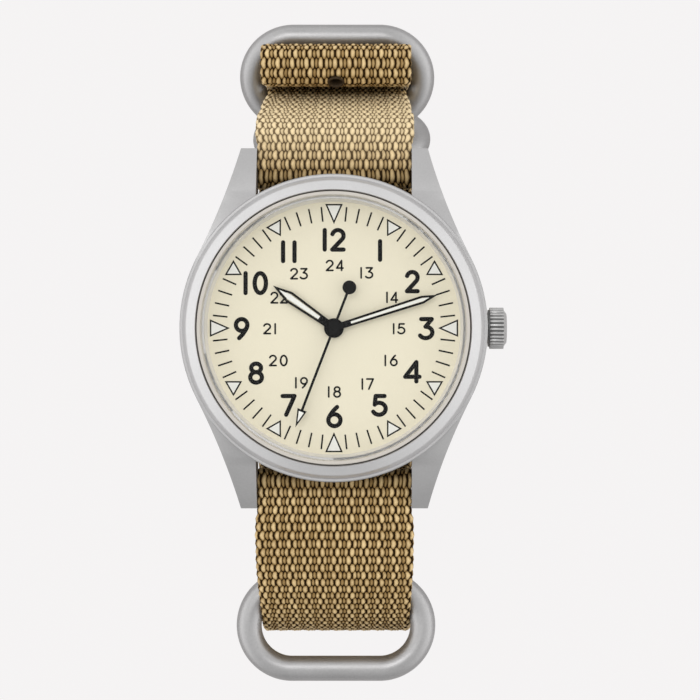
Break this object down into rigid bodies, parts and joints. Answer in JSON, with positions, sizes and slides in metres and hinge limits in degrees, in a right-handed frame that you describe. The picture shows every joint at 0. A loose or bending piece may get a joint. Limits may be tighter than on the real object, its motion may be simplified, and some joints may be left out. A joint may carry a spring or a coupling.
{
  "type": "field watch",
  "caption": "Hand-wound field wristwatch with a round steel case, plain numbered dial and a ringed woven strap closed as if worn.",
  "frame": {"origin": "middle of the crystal's flat face, on the axis of the hands", "axes": "+Z out of the dial, +Y to 12 o'clock, +X to the crown at 3 o'clock"},
  "size_m": [0.0383, 0.0806, 0.0531],
  "materials": {
    "case_steel": "bead blasted and brushed",
    "ring_steel": "brushed",
    "movement_steel": "polished",
    "plated_brass": "nickel plated",
    "wheel_brass": "gilt",
    "crystal_glass": "clear",
    "gasket_plastic": "satin",
    "seal_rubber": "matte",
    "rehaut_grey": "matte",
    "dial_cream": "matte",
    "jewel_red": "polished",
    "holder_plastic": "moulded",
    "hand_black": "matte",
    "lume_white": "matte",
    "webbing": "woven"
  },
  "bodies": {
    "watch_head": {"case_middle": "case_steel", "bezel": "case_steel", "crystal": "crystal_glass", "crystal_gasket": "gasket_plastic", "rehaut": "rehaut_grey", "dial": "dial_cream", "case_back": "case_steel", "back_seal": "seal_rubber", "movement_holder": "holder_plastic", "mainplate": "plated_brass", "train_bridge": "plated_brass", "barrel_bridge": "plated_brass", "balance_cock": "plated_brass", "pallet_cock": "plated_brass", "bridge_screws": "movement_steel", "pallet_screw": "movement_steel", "jewels": "jewel_red", "crown_tube": "case_steel", "spring_bar_12": "movement_steel", "spring_bar_6": "movement_steel", "long_strap": "webbing", "short_strap": "webbing"},
    "minute_group": {"centre_wheel": "wheel_brass", "cannon_pinion": "movement_steel", "minute_hand": "hand_black", "minute_lume": "lume_white"},
    "hour_group": {"hour_wheel": "wheel_brass", "hour_hand": "hand_black", "hour_lume": "lume_white"},
    "seconds_group": {"fourth_wheel": "wheel_brass", "seconds_hand": "hand_black"},
    "third_wheel_body": {"third_wheel": "wheel_brass"},
    "escape_wheel_body": {"escape_wheel": "movement_steel"},
    "pallet_fork_body": {"pallet_fork": "movement_steel"},
    "balance_body": {"balance": "wheel_brass"},
    "minute_wheel_body": {"minute_wheel": "wheel_brass"},
    "barrel_body": {"barrel_drum": "wheel_brass", "barrel_lid": "wheel_brass"},
    "winding_arbor_body": {"barrel_arbor": "movement_steel", "ratchet_wheel": "movement_steel"},
    "crown_wheel_body": {"crown_wheel": "movement_steel"},
    "click_body": {"click": "movement_steel"},
    "winding_pinion_body": {"winding_pinion": "movement_steel"},
    "crown_slider": {"crown_gasket": "seal_rubber"},
    "crown_body": {"crown": "case_steel", "stem": "movement_steel"},
    "ring_a_body": {"ring_a": "ring_steel"},
    "ring_b_body": {"ring_b": "ring_steel"},
    "ring_c_body": {"ring_c": "ring_steel"},
    "buckle_frame_body": {"buckle_frame": "ring_steel"},
    "buckle_tongue_body": {"buckle_tongue": "ring_steel"},
    "bar_tip_12_right_body": {"bar_tip_12_right": "movement_steel"},
    "bar_tip_12_left_body": {"bar_tip_12_left": "movement_steel"},
    "bar_tip_6_right_body": {"bar_tip_6_right": "movement_steel"},
    "bar_tip_6_left_body": {"bar_tip_6_left": "movement_steel"}
  },
  "joints": [
    {"name": "third_turn", "type": "hinge", "parent": "watch_head", "child": "third_wheel_body", "pos_m": [0, -0.0049, -0.0057], "axis": [0, 0, 1], "continuous": true},
    {"name": "minute_turn", "type": "hinge", "parent": "watch_head", "child": "minute_group", "pos_m": [0, 0, -0.005], "axis": [0, 0, -1], "continuous": true},
    {"name": "hour_turn", "type": "hinge", "parent": "watch_head", "child": "hour_group", "pos_m": [0, 0, -0.0039], "axis": [0, 0, -1], "continuous": true},
    {"name": "seconds_turn", "type": "hinge", "parent": "watch_head", "child": "seconds_group", "pos_m": [0, 0, -0.0062], "axis": [0, 0, -1], "continuous": true},
    {"name": "escape_turn", "type": "hinge", "parent": "watch_head", "child": "escape_wheel_body", "pos_m": [-0.00446, 0.00162, -0.0054], "axis": [0, 0, -1], "continuous": true},
    {"name": "minute_wheel_turn", "type": "hinge", "parent": "watch_head", "child": "minute_wheel_body", "pos_m": [0.00246, -0.00172, -0.0042], "axis": [0, 0, -1], "continuous": true},
    {"name": "barrel_turn", "type": "hinge", "parent": "watch_head", "child": "barrel_body", "pos_m": [0.00405, 0.00482, -0.0055], "axis": [0, 0, -1], "continuous": true},
    {"name": "pallet_rock", "type": "hinge", "parent": "watch_head", "child": "pallet_fork_body", "pos_m": [-0.00627, -0.00036, -0.0054], "axis": [0, 0, 1], "range_deg": [-5, 5]},
    {"name": "balance_swing", "type": "hinge", "parent": "watch_head", "child": "balance_body", "pos_m": [-0.0083, -0.0026, -0.0061], "axis": [0, 0, 1], "range_deg": [-270, 270]},
    {"name": "crown_pull", "type": "slide", "parent": "watch_head", "child": "crown_slider", "axis": [1, 0, 0], "range_m": [0, 0.001]},
    {"name": "crown_turn", "type": "hinge", "parent": "crown_slider", "child": "crown_body", "pos_m": [0.0185, 0, -0.00575], "axis": [1, 0, 0], "continuous": true},
    {"name": "winding_pinion_turn", "type": "hinge", "parent": "watch_head", "child": "winding_pinion_body", "pos_m": [0.0092, 0, -0.00575], "axis": [1, 0, 0], "continuous": true},
    {"name": "crown_wheel_turn", "type": "hinge", "parent": "watch_head", "child": "crown_wheel_body", "pos_m": [0.0073, 0, -0.007], "axis": [0, 0, 1], "continuous": true},
    {"name": "ratchet_turn", "type": "hinge", "parent": "watch_head", "child": "winding_arbor_body", "pos_m": [0.00405, 0.00482, -0.007], "axis": [0, 0, 1], "continuous": true},
    {"name": "click_lift", "type": "hinge", "parent": "watch_head", "child": "click_body", "pos_m": [0.00325, 0.00936, -0.007], "axis": [0, 0, -1], "range_deg": [0, 6], "stiffness_Nm_per_rad": 0.00001, "springref_deg": -11.46},
    {"name": "ring_a_swing", "type": "hinge", "parent": "watch_head", "child": "ring_a_body", "pos_m": [0, 0.02643, -0.02193], "axis": [1, 0, 0], "range_deg": [-12, 5]},
    {"name": "ring_b_swing", "type": "hinge", "parent": "watch_head", "child": "ring_b_body", "pos_m": [0, 0.0229, -0.04355], "axis": [1, 0, 0], "range_deg": [-8, 8]},
    {"name": "ring_c_swing", "type": "hinge", "parent": "watch_head", "child": "ring_c_body", "pos_m": [0, -0.0308, -0.01353], "axis": [1, 0, 0], "range_deg": [-5, 5]},
    {"name": "buckle_swing", "type": "hinge", "parent": "watch_head", "child": "buckle_frame_body", "pos_m": [0, 0.0065, -0.0472], "axis": [1, 0, 0], "range_deg": [0, 2]},
    {"name": "tongue_swing", "type": "hinge", "parent": "buckle_frame_body", "child": "buckle_tongue_body", "pos_m": [0, 0.0065, -0.0472], "axis": [1, 0, 0], "range_deg": [0, 3]},
    {"name": "bar_tip_12_right_press", "type": "slide", "parent": "watch_head", "child": "bar_tip_12_right_body", "axis": [-1, 0, 0], "range_m": [0, 0.0008], "stiffness_N_per_m": 300, "springref_m": -0.0005},
    {"name": "bar_tip_12_left_press", "type": "slide", "parent": "watch_head", "child": "bar_tip_12_left_body", "axis": [1, 0, 0], "range_m": [0, 0.0008], "stiffness_N_per_m": 300, "springref_m": -0.0005},
    {"name": "bar_tip_6_right_press", "type": "slide", "parent": "watch_head", "child": "bar_tip_6_right_body", "axis": [-1, 0, 0], "range_m": [0, 0.0008], "stiffness_N_per_m": 300, "springref_m": -0.0005},
    {"name": "bar_tip_6_left_press", "type": "slide", "parent": "watch_head", "child": "bar_tip_6_left_body", "axis": [1, 0, 0], "range_m": [0, 0.0008], "stiffness_N_per_m": 300, "springref_m": -0.0005}
  ],
  "couplings": [
    {"joint": "minute_turn", "follows": "third_turn", "ratio": 0.125},
    {"joint": "hour_turn", "follows": "third_turn", "ratio": 0.010417},
    {"joint": "seconds_turn", "follows": "third_turn", "ratio": 7.5},
    {"joint": "escape_turn", "follows": "third_turn", "ratio": -75},
    {"joint": "minute_wheel_turn", "follows": "third_turn", "ratio": -0.041667},
    {"joint": "barrel_turn", "follows": "third_turn", "ratio": -0.020833},
    {"joint": "winding_pinion_turn", "follows": "crown_turn", "ratio": 1},
    {"joint": "crown_wheel_turn", "follows": "crown_turn", "ratio": 0.5},
    {"joint": "ratchet_turn", "follows": "crown_turn", "ratio": -0.325}
  ]
}
